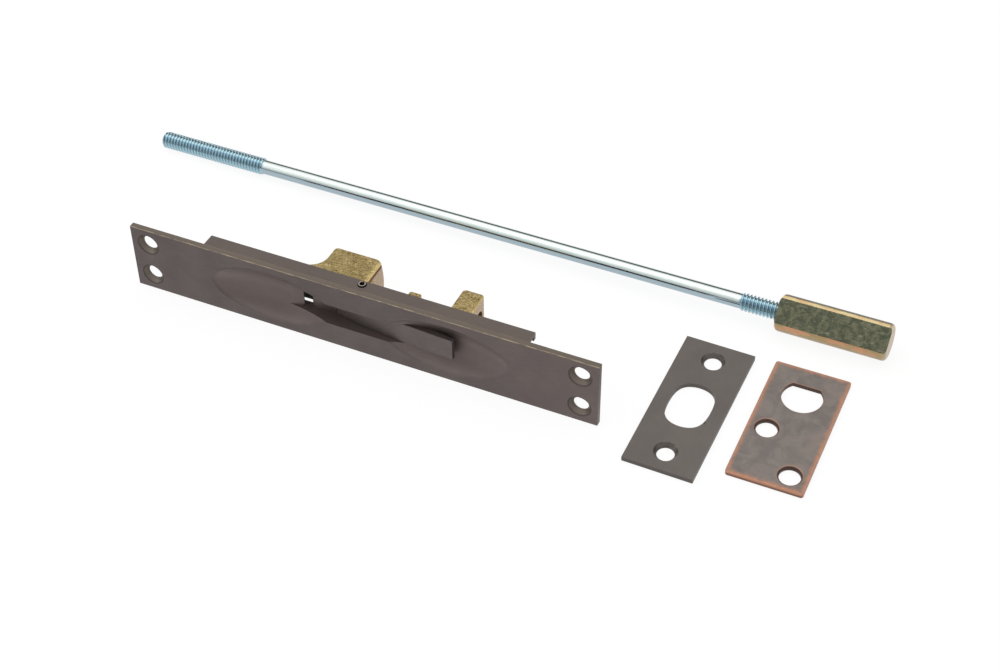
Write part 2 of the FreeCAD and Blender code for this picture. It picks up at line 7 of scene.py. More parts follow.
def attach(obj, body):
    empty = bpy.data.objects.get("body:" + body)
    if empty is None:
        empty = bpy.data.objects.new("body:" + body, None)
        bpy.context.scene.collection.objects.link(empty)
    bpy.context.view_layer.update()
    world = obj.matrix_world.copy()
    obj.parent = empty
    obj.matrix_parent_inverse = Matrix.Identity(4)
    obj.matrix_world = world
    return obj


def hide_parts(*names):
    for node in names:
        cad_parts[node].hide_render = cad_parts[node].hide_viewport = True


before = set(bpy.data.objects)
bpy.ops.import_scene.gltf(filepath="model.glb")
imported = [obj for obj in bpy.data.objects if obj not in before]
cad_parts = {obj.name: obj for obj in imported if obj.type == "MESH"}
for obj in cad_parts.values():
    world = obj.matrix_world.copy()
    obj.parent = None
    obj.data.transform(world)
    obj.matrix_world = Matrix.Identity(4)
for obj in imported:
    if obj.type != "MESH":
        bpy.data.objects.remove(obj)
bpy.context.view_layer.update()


# Face plate: one brass casting with its channel, plated dark bronze and brushed to a
# satin. Its edges are broken by a hair, and the two finger dishes flow into the face.
class Field:
    """A node's output, such as a value over a surface; arithmetic on it adds Math nodes."""

    def __init__(self, tree, socket):
        self.tree = tree
        self.socket = socket

    def math(self, operation, *values):
        made = self.tree.nodes.new("ShaderNodeMath")
        made.operation = operation
        for slot, value in zip(made.inputs, values):
            if isinstance(value, Field):
                self.tree.links.new(value.socket, slot)
            else:
                slot.default_value = value
        return Field(self.tree, made.outputs[0])

    def __add__(self, other):
        return self.math("ADD", self, other)

    def __radd__(self, other):
        return self.math("ADD", other, self)

    def __sub__(self, other):
        return self.math("SUBTRACT", self, other)

    def __rsub__(self, other):
        return self.math("SUBTRACT", other, self)

    def __mul__(self, other):
        return self.math("MULTIPLY", self, other)

    def __rmul__(self, other):
        return self.math("MULTIPLY", other, self)

    def __truediv__(self, other):
        return self.math("DIVIDE", self, other)

    def __rtruediv__(self, other):
        return self.math("DIVIDE", other, self)

    def abs(self):
        return self.math("ABSOLUTE", self)

    def min(self, other):
        return self.math("MINIMUM", self, other)

    def max(self, other):
        return self.math("MAXIMUM", self, other)

    def span(self, other):
        """The length of two offsets at right angles."""
        square = self * self + other * other
        return square.math("SQRT", square)

    def step(self, low, high):
        """0 below low and 1 above high, smooth between; low may be the higher one."""
        made = self.tree.nodes.new("ShaderNodeMapRange")
        made.interpolation_type = "SMOOTHSTEP"
        self.tree.links.new(self.socket, made.inputs[0])
        made.inputs[1].default_value = min(low, high)
        made.inputs[2].default_value = max(low, high)
        made.inputs[3].default_value = 0.0 if low < high else 1.0
        made.inputs[4].default_value = 1.0 if low < high else 0.0
        return Field(self.tree, made.outputs[0])


class Nodes:
    """A node tree in the making."""

    def __init__(self, tree):
        self.tree = tree

    def node(self, kind, settings=None, inputs=None, out=0):
        """Any node: its settings first, then the values or links of its sockets."""
        made = self.tree.nodes.new(kind)
        for name, value in (settings or {}).items():
            if name == "stops":
                ramp = made.color_ramp.elements
                while len(ramp) < len(value):
                    ramp.new(0.5)
                for element, (place, colour) in zip(ramp, value):
                    element.position = place
                    element.color = (*colour, 1.0)
            else:
                setattr(made, name, value)
        for name, value in (inputs or {}).items():
            if isinstance(value, Field):
                self.tree.links.new(value.socket, made.inputs[name])
            else:
                made.inputs[name].default_value = value
        return Field(self.tree, made.outputs[out])

    def parts(self, vector):
        """The three numbers of a vector."""
        made = self.tree.nodes.new("ShaderNodeSeparateXYZ")
        self.tree.links.new(vector.socket, made.inputs[0])
        return [Field(self.tree, output) for output in made.outputs]


class Finish(Nodes):
    """A material in the making."""

    def __init__(self, name):
        self.material = bpy.data.materials.new(name)
        self.material.use_nodes = True
        super().__init__(self.material.node_tree)
        self.shader = self.tree.nodes["Principled BSDF"]

    def place(self, centre=(0, 0, 0), turn=(0, 0, 0), stretch=(1, 1, 1)):
        """Object coordinates in millimetres from a centre, turned and stretched with the piece."""
        return self.node("ShaderNodeMapping", {"vector_type": "TEXTURE"}, {
            "Vector": self.node("ShaderNodeTexCoord", out="Object"), "Rotation": turn,
            "Location": [c / 1000 for c in centre], "Scale": [s / 1000 for s in stretch]})

    def facing(self):
        """The three numbers of the way that the surface faces."""
        return self.parts(self.node("ShaderNodeNewGeometry", out="Normal"))

    def noise(self, vector, scale, detail=3.0, rough=0.55, warp=0.0):
        """Cloudy noise about a half, with so many lumps to a millimetre of its vector."""
        return self.node("ShaderNodeTexNoise", None, {
            "Vector": vector, "Scale": scale, "Detail": detail, "Roughness": rough,
            "Distortion": warp})

    def mix(self, factor, first, second):
        """Two colours mixed; each may be a colour or a link."""
        first, second = [c if isinstance(c, Field) else (*c, 1.0) for c in (first, second)]
        # A Mix node takes its colours at sockets 6 and 7 and gives its colour at socket 2.
        return self.node("ShaderNodeMix", {"data_type": "RGBA"},
                         {0: factor, 6: first, 7: second}, out=2)

    def bump(self, height, depth, under=None):
        """A bumped normal from a height of 0 to 1 over a depth in millimetres."""
        sockets = {"Height": height, "Distance": depth / 1000}
        if under:
            sockets["Normal"] = under
        return self.node("ShaderNodeBump", None, sockets)

    def finish(self, **sockets):
        """Set or link the shader's sockets, named with underscores for spaces."""
        for name, value in sockets.items():
            slot = self.shader.inputs[name.replace("_", " ")]
            if isinstance(value, Field):
                self.tree.links.new(value.socket, slot)
            else:
                slot.default_value = (*value, 1.0) if isinstance(value, tuple) else value
        return self.material


def tone(red, green, blue):
    """A colour as it looks on a screen, 0 to 255, made linear."""
    return tuple(((c / 255 + 0.055) / 1.055) ** 2.4 for c in (red, green, blue))


def settle(piece, material, body, slot, *nodes):
    """Give a finished piece its material, its body and the CAD pieces that it stands for."""
    piece.data.materials.clear()
    piece.data.materials.append(material)
    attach(piece, body)
    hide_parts(*nodes)


SEAM_WITHIN, FLAT_WITHIN, SHARP_BEYOND = 3e-6, math.radians(0.3), math.radians(28)


def broken_edges(name, edge, segments=2, ease=None):
    """The CAD piece again, merged and eased, with sharp edges broken to a width in millimetres."""
    form = bmesh.new()
    form.from_mesh(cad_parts[name].data)
    bmesh.ops.remove_doubles(form, verts=form.verts, dist=SEAM_WITHIN)
    bmesh.ops.dissolve_limit(form, angle_limit=FLAT_WITHIN, verts=form.verts, edges=form.edges)
    if ease:
        ease(form)
    mesh = bpy.data.meshes.new(name + "_finished")
    form.to_mesh(mesh)
    form.free()
    mesh.shade_smooth()
    piece = bpy.data.objects.new(name + "_finished", mesh)
    bpy.context.scene.collection.objects.link(piece)
    bevel = piece.modifiers.new("EdgeBreak", "BEVEL")
    bevel.width = edge / 1000
    bevel.segments = segments
    bevel.angle_limit = SHARP_BEYOND
    bevel.use_clamp_overlap = True
    evened = piece.modifiers.new("EvenShading", "WEIGHTED_NORMAL")
    evened.mode = "FACE_AREA"
    evened.weight = 80
    graph = bpy.context.evaluated_depsgraph_get()
    piece.data = bpy.data.meshes.new_from_object(piece.evaluated_get(graph))
    piece.modifiers.clear()
    bpy.data.meshes.remove(mesh)
    return piece


# Lengths are in millimetres. The body's own axes are X along it, Y into it and Z across.
BODY_X, BODY_Y = -23.32, -30.216
PLATE_HALF_WIDTH, PLATE_THICKNESS = 12.7, 2.1
CHANNEL_INSET, CHANNEL_BEHIND_PLATE = 0.35, 5.25
SCREW_X, SCREW_Z, SINK_RADIUS = 79.375, 6.55, 3.95
PIN_DEPTH, PIN_RADIUS = 5.42, 1.3
LEAN = math.atan(CHANNEL_INSET / CHANNEL_BEHIND_PLATE)
BODY_AT = (BODY_X, BODY_Y + PLATE_HALF_WIDTH * math.sin(LEAN),
           PLATE_HALF_WIDTH * math.cos(LEAN) + PLATE_THICKNESS * math.sin(LEAN))
BODY_TURN = (-LEAN, 0, 0)
BODY_FRAME = Matrix.Translation(BODY_AT) @ Matrix.Rotation(-LEAN, 4, "X")
# The corners of a rest's outline, as X and Y, and where each moves to.
REST_CORNERS = {(14.5, 5.81): (11.3, 6.35), (14.5, 7.25): (11.3, 7.25), (19.3, 5.0): (17.8, 5.25),
                (20.37, 5.13): (19.6, 5.75), (20.9, 7.25): (20.4, 7.25)}
REST_HALF_WIDTH, AT_CORNER = 4.2, 0.02


def ease_rests(form):
    """Bring the rests behind the slot close up to the lever's arm and round their outer ends."""
    for vertex in form.verts:
        spot = BODY_FRAME.inverted() @ (vertex.co * 1000)
        for (x, y), (new_x, new_y) in REST_CORNERS.items():
            near = abs(abs(spot.x) - x) < AT_CORNER and abs(spot.y - y) < AT_CORNER
            if near and abs(spot.z) < REST_HALF_WIDTH:
                moved = Vector((math.copysign(new_x, spot.x), new_y, spot.z))
                vertex.co = BODY_FRAME @ moved / 1000


bronze = Finish("DarkBronzePlate")
here = bronze.place(BODY_AT, BODY_TURN)
x, y, z = bronze.parts(here)
cloud = bronze.noise(here, 0.06, 4, 0.6)
grain = bronze.noise(bronze.place(BODY_AT, BODY_TURN, (9, 1, 1)), 2.2, 4, 0.7)
speck = bronze.noise(here, 4.5, 2, 0.6)
colour = bronze.mix(cloud.step(0.35, 0.68), tone(95, 86, 85), tone(104, 94, 91))
colour = bronze.mix(grain.step(0.30, 0.75) * 0.35, colour, tone(82, 74, 72))
# Painted light: the finger dishes are painted lighter, most where they face down, to lift the shade
# in them.
in_dish = y.step(0.1, 0.9) * z.abs().step(12.2, 11.2)
facing = bronze.facing()
colour = bronze.mix(in_dish * (facing[2].step(0.14, -0.12) * 0.5 + 0.4), colour, tone(118, 106, 102))
# Painted light: the plate is painted a little lighter towards its right end.
colour = bronze.mix(x.step(30, 85) * 0.3, colour, tone(118, 103, 100))
# Painted light: the plate's top side has its own yellower tone, set for the light that falls on it.
upper = y.step(0.1, 0.5) * z.step(12.2, 12.5)
colour = bronze.mix(upper, colour, tone(111, 101, 92))
# Painted highlight: bright lines along the front and back edges of the plate's top side, broken up
# by the grain.
wear_and_edge_highlight = z.step(12.48, 12.58) * (y.step(0.34, 0.16) * 0.9 + (y - 2.1).abs().step(0.2, 0.05) * 0.4)
colour = bronze.mix(wear_and_edge_highlight * grain.step(0.35, 0.6), colour, tone(176, 160, 132))
# Painted shadow: a dark ring on the top side round the pin's end.
from_pin = x.span(y - PIN_DEPTH) - PIN_RADIUS
colour = bronze.mix(from_pin.step(0.45, 0.2) * z.step(12.0, 12.2) * 0.8, colour, tone(40, 35, 34))
# Painted shade: a dark ring at the rim of each countersink. Painted light: their cones a little
# lighter.
from_sink = (x.abs() - SCREW_X).span(z.abs() - SCREW_Z) - SINK_RADIUS
colour = bronze.mix(from_sink.abs().step(0.32, 0.12) * 0.6, colour, tone(56, 49, 47))
in_sink = from_sink.step(-0.15, -0.35) * y.step(0.1, 0.3)
colour = bronze.mix(in_sink * 0.5, colour, tone(110, 102, 88))
bronze_material = bronze.finish(
    Base_Color=colour, Metallic=0.75, Roughness=0.50 + (grain - 0.5) * 0.12,
    Normal=bronze.bump(grain * 0.6 + speck * 0.4, 0.010))
face_plate = broken_edges("face_plate", 0.16, ease=ease_rests)
settle(face_plate, bronze_material, "body", "dark_bronze", "face_plate")


# Flip lever: a solid brass wedge with a hub and a short arm, in the same plated finish.
# It turns on the pin between the slot's walls, and folds flat either way.
lever_bronze = Finish("LeverBronze")
here = lever_bronze.place(BODY_AT, BODY_TURN)
cloud = lever_bronze.noise(here, 0.10, 4, 0.6)
grain = lever_bronze.noise(lever_bronze.place(BODY_AT, BODY_TURN, (8, 1, 1)), 2.4, 4, 0.7)
colour = lever_bronze.mix(cloud.step(0.35, 0.68), tone(97, 89, 88), tone(106, 97, 95))
colour = lever_bronze.mix(grain.step(0.30, 0.75) * 0.3, colour, tone(80, 72, 71))
lever_material = lever_bronze.finish(
    Base_Color=colour, Metallic=0.75, Roughness=0.48 + (grain - 0.5) * 0.12,
    Normal=lever_bronze.bump(grain, 0.008))
lever = broken_edges("lever", 0.18)
settle(lever, lever_material, "lever", "dark_bronze", "lever")


# Pivot pin: spring steel rolled into a slit tube, blackened with the plate and pressed
# through its rails. The rim of its end is painted bright.
PIN_RIM = 1.06
spring_steel = Finish("RolledPin")
here = spring_steel.place(BODY_AT, BODY_TURN)
x, y, z = spring_steel.parts(here)
fleck = spring_steel.noise(here, 3.0, 3, 0.6)
rim = (x.span(y - PIN_DEPTH) - PIN_RIM).abs().step(0.2, 0.1)
bright = rim * 0.8 + fleck.step(0.62, 0.75) * 0.2
colour = spring_steel.mix(bright, tone(46, 41, 40), tone(196, 184, 172))
pin_material = spring_steel.finish(
    Base_Color=colour, Metallic=0.9, Roughness=0.42 + (fleck - 0.5) * 0.2,
    Normal=spring_steel.bump(fleck, 0.006))
pin = broken_edges("pivot_pin", 0.09)
settle(pin, pin_material, "body", "dark_spring_steel", "pivot_pin")


# Slide: a rough brass sand casting, left as it came from the tumbler, with dark hollows
# and bright worn grains, and pinker sawn end faces that are also painted lighter for the
# light that falls on them. Feet behind the channel's lips hold it.
BLOCK_RIGHT, BLOCK_FOOT, BLOCK_HALF_WIDTH = -2.0, 12.9, 6.35
BLOCK_ROWS = (-4.2, -2.1, 0, 2.1, 4.2)
BLOCK_SWELL, SWELL_START, SWELL_FULL = 0.6, -8, -3
casting = Finish("RoughCastBrass")
here = casting.place(BODY_AT, BODY_TURN)
x, y, z = casting.parts(here)
lumps = casting.noise(here, 0.8, 4, 0.62, 0.5)
wrinkle = casting.noise(casting.place(BODY_AT, BODY_TURN, (1.5, 1, 1)), 0.9, 4, 0.62, 2.2)
grit = casting.noise(here, 1.5, 4, 0.75, 0.6)
stain = casting.noise(here, 0.22, 3, 0.55)
facing = casting.facing()
end_face = facing[0].abs().step(0.75, 0.95)
colour = casting.mix(stain.step(0.35, 0.65), tone(154, 135, 88), tone(178, 157, 108))
creases = wrinkle.step(0.50, 0.42) * 0.5 + grit.step(0.50, 0.36) * 0.5
colour = casting.mix(creases, colour, tone(96, 78, 42))
grains = (wrinkle * 0.5 + grit * 0.5).step(0.53, 0.66)
colour = casting.mix(grains * 0.8, colour, tone(222, 202, 146))
# Painted light: the end faces are pinker, and painted lighter for the light that falls on them.
colour = casting.mix(end_face * 0.7, colour, tone(204, 178, 158))
# Painted highlight: a gold line along the large block's top right arris, and a fainter one on the
# top past 35 mm along.
block_arris = x.step(-4.4, -2.9) * x.step(-2.1, -2.4) * y.step(11.5, 13.5)
arris_highlight = (block_arris * 0.5).max(x.step(35.2, 35.6) * 0.4) * z.step(5.9, 6.2)
colour = casting.mix(arris_highlight, colour, tone(240, 214, 146))
# Painted shade: a dark red-brown line along the block's right top edge, beside the highlight.
corner = z.step(5.6, 5.85) * (x - BLOCK_RIGHT).abs().step(0.45, 0.25) * y.step(12.0, 13.0)
colour = casting.mix(corner * 0.85, colour, tone(92, 56, 36))
# Painted shade: the slide's front, left of the large block, is painted dark where it shows through
# the slot.
pocket = y.step(12.9, 12.6) * x.step(-13.0, -14.0) * z.step(6.1, 5.9)
colour = casting.mix(pocket, colour, tone(62, 54, 52))
# Painted shade: a dark olive line along the top edges that turn back or to the left.
far_edge = z.step(5.95, 6.15) * facing[1].step(0.25, 0.6).max(facing[0].step(-0.25, -0.6))
colour = casting.mix(far_edge * 0.7, colour, tone(84, 72, 46))
casting_material = casting.finish(
    Base_Color=colour, Metallic=0.7, Roughness=0.50 + (grit - 0.5) * 0.4,
    Normal=casting.bump(grit, 0.10, casting.bump(wrinkle, 0.16, casting.bump(lumps, 0.12))))


def cut_rows(form, stand, way, rows):
    """Cut the mesh across at places along a way of the piece, so that it can bend there."""
    for row in rows:
        bmesh.ops.bisect_plane(
            form, geom=form.verts[:] + form.edges[:] + form.faces[:], dist=1e-7,
            plane_co=stand @ (Vector(way) * row) / 1000, plane_no=stand.to_3x3() @ Vector(way))


def ease_block(form):
    """Bulge the large block's end at its parting line, as a sand casting's draft leaves it."""
    cut_rows(form, BODY_FRAME, (0, 0, 1), BLOCK_ROWS)
    for vertex in form.verts:
        spot = BODY_FRAME.inverted() @ (vertex.co * 1000)
        if SWELL_START < spot.x < BLOCK_RIGHT + 0.1 and spot.y > BLOCK_FOOT:
            grown = min(1, (spot.x - SWELL_START) / (SWELL_FULL - SWELL_START))
            swell = BLOCK_SWELL * (1 - (spot.z / BLOCK_HALF_WIDTH) ** 2) * grown
            vertex.co = BODY_FRAME @ (spot + Vector((swell, 0, 0))) / 1000


slide = broken_edges("slide", 0.35, 3, ease=ease_block)
settle(slide, casting_material, "slide", "rough_brass", "slide")


# Rod: cold-drawn steel with rolled 1/4-20 threads at both ends, bright zinc with a blue
# cast. Each length of it is turned by the same tree, so the helix has its true pitch.
THREAD = {"Crest": 6.2, "Root": 4.85, "Pitch": 1.27, "Sides": 41, "Bevel_In": 0.7, "Bevel_Out": 0.7}
SHANK = {"Crest": 5.2, "Root": 5.2, "Pitch": 1.27, "Sides": 61, "Bevel_In": 0.0, "Bevel_Out": 0.0}
FLANK = (0.10, 0.82)
HEAD_DIAMETER, ROD_TO_HEAD = 12.7, 240.25
ROD_RISE = math.asin((HEAD_DIAMETER - THREAD["Crest"]) / 2 / ROD_TO_HEAD)
ROD_SWING = math.radians(0.625)
ROD_AT = Vector((-139.175, 37.105, THREAD["Crest"] / 2))
ROD_TURN = (0, -ROD_RISE, -ROD_SWING)
ROD_WAY = Vector((math.cos(ROD_RISE) * math.cos(ROD_SWING),
                  -math.cos(ROD_RISE) * math.sin(ROD_SWING), math.sin(ROD_RISE)))


def turned_length_tree(material):
    """A tree that turns one length of the rod about X, with or without its helix."""
    tree = bpy.data.node_groups.new("TurnedLength", "GeometryNodeTree")
    sizes = {"Start": 0.0, "Length": 40.0, "Crest": 6.2, "Root": 4.85, "Pitch": 1.27,
             "Bevel In": 0.7, "Bevel Out": 0.7, "Rings": 300, "Sides": 41}
    for name, size in sizes.items():
        kind = "NodeSocketInt" if isinstance(size, int) else "NodeSocketFloat"
        tree.interface.new_socket(name, in_out="INPUT", socket_type=kind).default_value = size
    tree.interface.new_socket("Geometry", in_out="OUTPUT", socket_type="NodeSocketGeometry")
    entry = tree.nodes.new("NodeGroupInput")
    leave = tree.nodes.new("NodeGroupOutput")
    given = {name: Field(tree, entry.outputs[name]) for name in sizes}
    lathe = Nodes(tree)
    grid = lathe.node("GeometryNodeMeshGrid", None, {
        "Size X": 1.0, "Size Y": 1.0, "Vertices X": given["Rings"], "Vertices Y": given["Sides"]})
    x, y, z = lathe.parts(lathe.node("GeometryNodeInputPosition"))
    along = (x + 0.5) * given["Length"]
    turn = y + 0.5
    # The ten turns added keep the count above zero, so that its fraction runs one way.
    turns = (given["Start"] + along) / given["Pitch"] - turn + 10.0
    phase = turns.math("FRACT", turns)
    height = (phase * 2.0 - 1.0).abs().step(*FLANK)
    radius = (given["Root"] + (given["Crest"] - given["Root"]) * height) / 2
    radius = radius.min(given["Crest"] / 2 - given["Bevel In"] + along)
    radius = radius.min(given["Crest"] / 2 - given["Bevel Out"] + given["Length"] - along)
    around = turn * (2 * math.pi)
    spot = lathe.node("ShaderNodeCombineXYZ", None, {
        "X": given["Start"] + along, "Y": radius * around.math("COSINE", around),
        "Z": radius * around.math("SINE", around)})
    moved = lathe.node("GeometryNodeSetPosition", None, {"Geometry": grid, "Position": spot})
    welded = lathe.node("GeometryNodeMergeByDistance", None, {"Geometry": moved, "Distance": 0.0005})
    real = lathe.node("GeometryNodeRealizeInstances", None, {"Geometry": welded})
    painted = lathe.node("GeometryNodeSetMaterial", None, {"Geometry": real, "Material": material})
    tree.links.new(painted.socket, leave.inputs[0])
    return tree


def turned_length(tree, form, **given):
    """Add one closed turned length, in millimetres along X, to the mesh in the making."""
    mesh = bpy.data.meshes.new("Length")
    carrier = bpy.data.objects.new("Length", mesh)
    bpy.context.scene.collection.objects.link(carrier)
    turner = carrier.modifiers.new("Turned", "NODES")
    turner.node_group = tree
    for item in tree.interface.items_tree:
        if item.in_out == "INPUT" and item.name.replace(" ", "_") in given:
            turner[item.identifier] = given[item.name.replace(" ", "_")]
    graph = bpy.context.evaluated_depsgraph_get()
    made = bpy.data.meshes.new_from_object(carrier.evaluated_get(graph))
    bpy.data.objects.remove(carrier)
    before = len(form.edges)
    form.from_mesh(made)
    form.edges.ensure_lookup_table()
    rims = [edge for edge in form.edges[before:] if edge.is_boundary]
    bmesh.ops.holes_fill(form, edges=rims, sides=0)


SHADE_TURN = math.radians(40)
zinc = Finish("BlueZinc")
here = zinc.place(ROD_AT, ROD_TURN)
x, y, z = zinc.parts(here)
streak = zinc.noise(zinc.place(ROD_AT, ROD_TURN, (40, 1, 1)), 3.0, 3, 0.6)
mottle = zinc.noise(here, 0.35, 3, 0.6)
threads = x.step(43.4, 42.6).max(x.step(226.5, 227.3))
facing = zinc.facing()
colour = zinc.mix(mottle.step(0.3, 0.7), tone(196, 207, 204), tone(204, 214, 211))
# Painted shade: the rod is painted a darker blue where it faces less upward.
colour = zinc.mix(facing[2].step(0.62, 0.4) * 0.9, colour, tone(158, 176, 186))
colour = zinc.mix(streak.step(0.55, 0.75) * 0.2, colour, tone(170, 200, 206))
colour = zinc.mix(threads * 0.75, colour, tone(160, 193, 205))
aside = y * math.cos(SHADE_TURN) + z * math.sin(SHADE_TURN)
shade = aside.abs().step(1.2, 0.4) * z.step(0.0, 0.5)
colour = zinc.mix(shade * threads * 0.65, colour, tone(92, 120, 138))
zinc_material = zinc.finish(
    Base_Color=colour, Metallic=1.0, Roughness=0.14 + threads * 0.08 + (streak - 0.5) * 0.08,
    Normal=zinc.bump(streak, 0.006))
lengths = turned_length_tree(zinc_material)
form = bmesh.new()
turned_length(lengths, form, Start=0.0, Length=43.0, Rings=341, **THREAD)
turned_length(lengths, form, Start=42.6, Length=184.9, Rings=24, **SHANK)
turned_length(lengths, form, Start=226.95, Length=25.3, Rings=207, **THREAD)
side = Vector((0, 0, 1)).cross(ROD_WAY).normalized()
stand = Matrix((ROD_WAY, side, ROD_WAY.cross(side))).transposed()
for vertex in form.verts:
    vertex.co = (stand @ vertex.co + ROD_AT) / 1000
bmesh.ops.recalc_face_normals(form, faces=form.faces)
mesh = bpy.data.meshes.new("rod_finished")
form.to_mesh(mesh)
form.free()
mesh.shade_smooth()
mesh.set_sharp_from_angle(angle=math.radians(50))
rod = bpy.data.objects.new("rod_finished", mesh)
bpy.context.scene.collection.objects.link(rod)
settle(rod, zinc_material, "body", "bright_zinc", "rod")


# Bolt head: round brass bar with one milled flat, tapped at the back for the rod. Its lacquer
# has gone olive and mottled on the flat, which is also painted dark for the dark it reflects.
# Elsewhere it is gold with copper streaks underneath, with a painted highlight beside the flat,
# painted shade along its top edge and underneath, and a painted reflection at its far end.
FLAT_TURN = math.radians(40)
FLAT_RISE, RAISED_TO, RAISED_ACROSS, ON_THE_FLAT = 4.15, 4.6, 4.377, 0.03
tarnish = Finish("TarnishedBrass")
here = tarnish.place(ROD_AT, ROD_TURN)
x, y, z = tarnish.parts(here)
rise = z * math.cos(FLAT_TURN) - y * math.sin(FLAT_TURN)
on_flat = rise.step(RAISED_TO - 0.06, RAISED_TO - 0.003)
blotch = tarnish.noise(here, 0.42, 5, 0.7, 0.6)
scuff = tarnish.noise(tarnish.place(ROD_AT, ROD_TURN, (3.5, 1, 1)), 1.6, 5, 0.72, 0.5)
fine = tarnish.noise(tarnish.place(ROD_AT, ROD_TURN, (12, 1, 1)), 4.0, 3, 0.7)
# The flat's olive, mottled tarnish, also painted dark as a painted reflection of the dark it faces.
flat_colour = tarnish.mix(blotch.step(0.38, 0.64), tone(72, 76, 61), tone(104, 104, 84))
flat_colour = tarnish.mix(scuff.step(0.56, 0.72) * 0.7, flat_colour, tone(160, 158, 132))
flat_colour = tarnish.mix(scuff.step(0.46, 0.32) * 0.7, flat_colour, tone(62, 66, 52))
facing = tarnish.facing()
along = tarnish.noise(tarnish.place(ROD_AT, ROD_TURN, (2, 1, 1)), 0.22, 3, 0.6, 0.6)
# Painted highlight: the round's own gold, set near white so that it shows bright.
round_colour = tarnish.mix(along.step(0.38, 0.6), tone(252, 234, 180), tone(242, 204, 150))
# Painted shade: a dark band along the round's top edge, where it turns away.
round_colour = tarnish.mix(facing[1].step(0.30, 0.44), round_colour, tone(84, 72, 48))
# Painted shade: the round is painted duller on its lower side, with copper streaks there, and darker
# still underneath.
lower = facing[2].step(0.3, 0.05)
round_colour = tarnish.mix(lower, round_colour, tone(166, 146, 104))
round_colour = tarnish.mix(lower * along.step(0.46, 0.58) * 0.8, round_colour, tone(204, 148, 116))
round_colour = tarnish.mix(facing[2].step(-0.1, -0.6) * 0.7, round_colour, tone(142, 126, 92))
round_colour = tarnish.mix(fine.step(0.50, 0.72) * 0.4, round_colour, tone(128, 112, 80))
# Painted reflection: the head's far end is painted greyer.
round_colour = tarnish.mix(x.step(276.6, 277.6) * 0.6, round_colour, tone(168, 156, 130))
gleam = (1.0 - on_flat) * facing[1].step(-0.25, -0.05) * facing[1].step(0.40, 0.26)
colour = tarnish.mix(on_flat, round_colour, flat_colour)
tarnish_material = tarnish.finish(
    Base_Color=colour, Metallic=0.9 - gleam * 0.55,
    Roughness=0.30 + on_flat * 0.10 + (scuff - 0.5) * 0.3,
    Normal=tarnish.bump(scuff * 0.6 + fine * 0.4, 0.02))


def ease_flat(form):
    """Raise the milled flat a little, which makes it as narrow as it shows."""
    for vertex in form.verts:
        spot = stand.transposed() @ (vertex.co * 1000 - ROD_AT)
        height = spot.z * math.cos(FLAT_TURN) - spot.y * math.sin(FLAT_TURN)
        offset = spot.z * math.sin(FLAT_TURN) + spot.y * math.cos(FLAT_TURN)
        if abs(height - FLAT_RISE) < ON_THE_FLAT:
            offset = math.copysign(min(abs(offset), RAISED_ACROSS), offset)
            moved = Vector((spot.x, offset * math.cos(FLAT_TURN) - RAISED_TO * math.sin(FLAT_TURN),
                            offset * math.sin(FLAT_TURN) + RAISED_TO * math.cos(FLAT_TURN)))
            vertex.co = (stand @ moved + ROD_AT) / 1000


bolt_head = broken_edges("bolt_head", 1.0, 4, ease=ease_flat)
settle(bolt_head, tarnish_material, "body", "tarnished_brass", "bolt_head")


# Strike: a stamped brass plate with crisp sides, plated in an even satin bronze. Two
# screws hold it to the door's frame, and its hole takes the bolt head.
STRIKE_AT, STRIKE_TURN = (87.015, -12.076, 0.0), (0, 0, math.radians(-0.8))
STRIKE_FRAME = Matrix.Translation(STRIKE_AT) @ Matrix.Rotation(STRIKE_TURN[2], 4, "Z")
HOLE_RADIUS, HOLE_FLAT, HOLE_SHARPNESS = 9.6, 7.6, 5
AT_HOLE = 0.1


def ease_hole(form):
    """Blend the flats of the bolt hole into its round ends."""
    cut_rows(form, STRIKE_FRAME, (0, 1, 0), range(-6, 7))
    for vertex in form.verts:
        spot = STRIKE_FRAME.inverted() @ (vertex.co * 1000)
        reach = math.hypot(spot.x, spot.y)
        at_hole = HOLE_FLAT - AT_HOLE < reach < HOLE_RADIUS + AT_HOLE
        if at_hole and abs(spot.x) < HOLE_FLAT + AT_HOLE:
            flat_share = (abs(spot.x) / reach / HOLE_FLAT) ** HOLE_SHARPNESS
            wanted = (flat_share + HOLE_RADIUS ** -HOLE_SHARPNESS) ** (-1 / HOLE_SHARPNESS)
            moved = Vector((spot.x * wanted / reach, spot.y * wanted / reach, spot.z))
            vertex.co = STRIKE_FRAME @ moved / 1000


satin = Finish("SatinBronzeStrike")
here = satin.place(STRIKE_AT, STRIKE_TURN)
x, y, z = satin.parts(here)
cloud = satin.noise(here, 0.05, 4, 0.55)
grain = satin.noise(satin.place(STRIKE_AT, STRIKE_TURN, (1, 14, 1)), 2.6, 4, 0.7)
colour = satin.mix(cloud.step(0.35, 0.68), tone(100, 94, 90), tone(106, 100, 95))
colour = satin.mix(grain.step(0.30, 0.75) * 0.15, colour, tone(92, 85, 81))
# Painted shade: the sides and the hole's walls are painted darker.
colour = satin.mix(z.step(1.72, 1.5) * 0.35, colour, tone(66, 60, 57))
satin_material = satin.finish(
    Base_Color=colour, Metallic=0.75, Roughness=0.48 + (grain - 0.5) * 0.12,
    Normal=satin.bump(grain, 0.008))
strike = broken_edges("strike_plate", 0.12, ease=ease_hole)
settle(strike, satin_material, "body", "bronze_strike", "strike_plate")


# Guide: a tumbled steel plate, copper plated and blackened, then rubbed back, so the
# copper shows at every rim, corner and hole.
GUIDE_AT = (118.995, -8.106, 0.0)
GUIDE_HALF_WIDTH, GUIDE_HALF_LENGTH = 12.7, 25.4
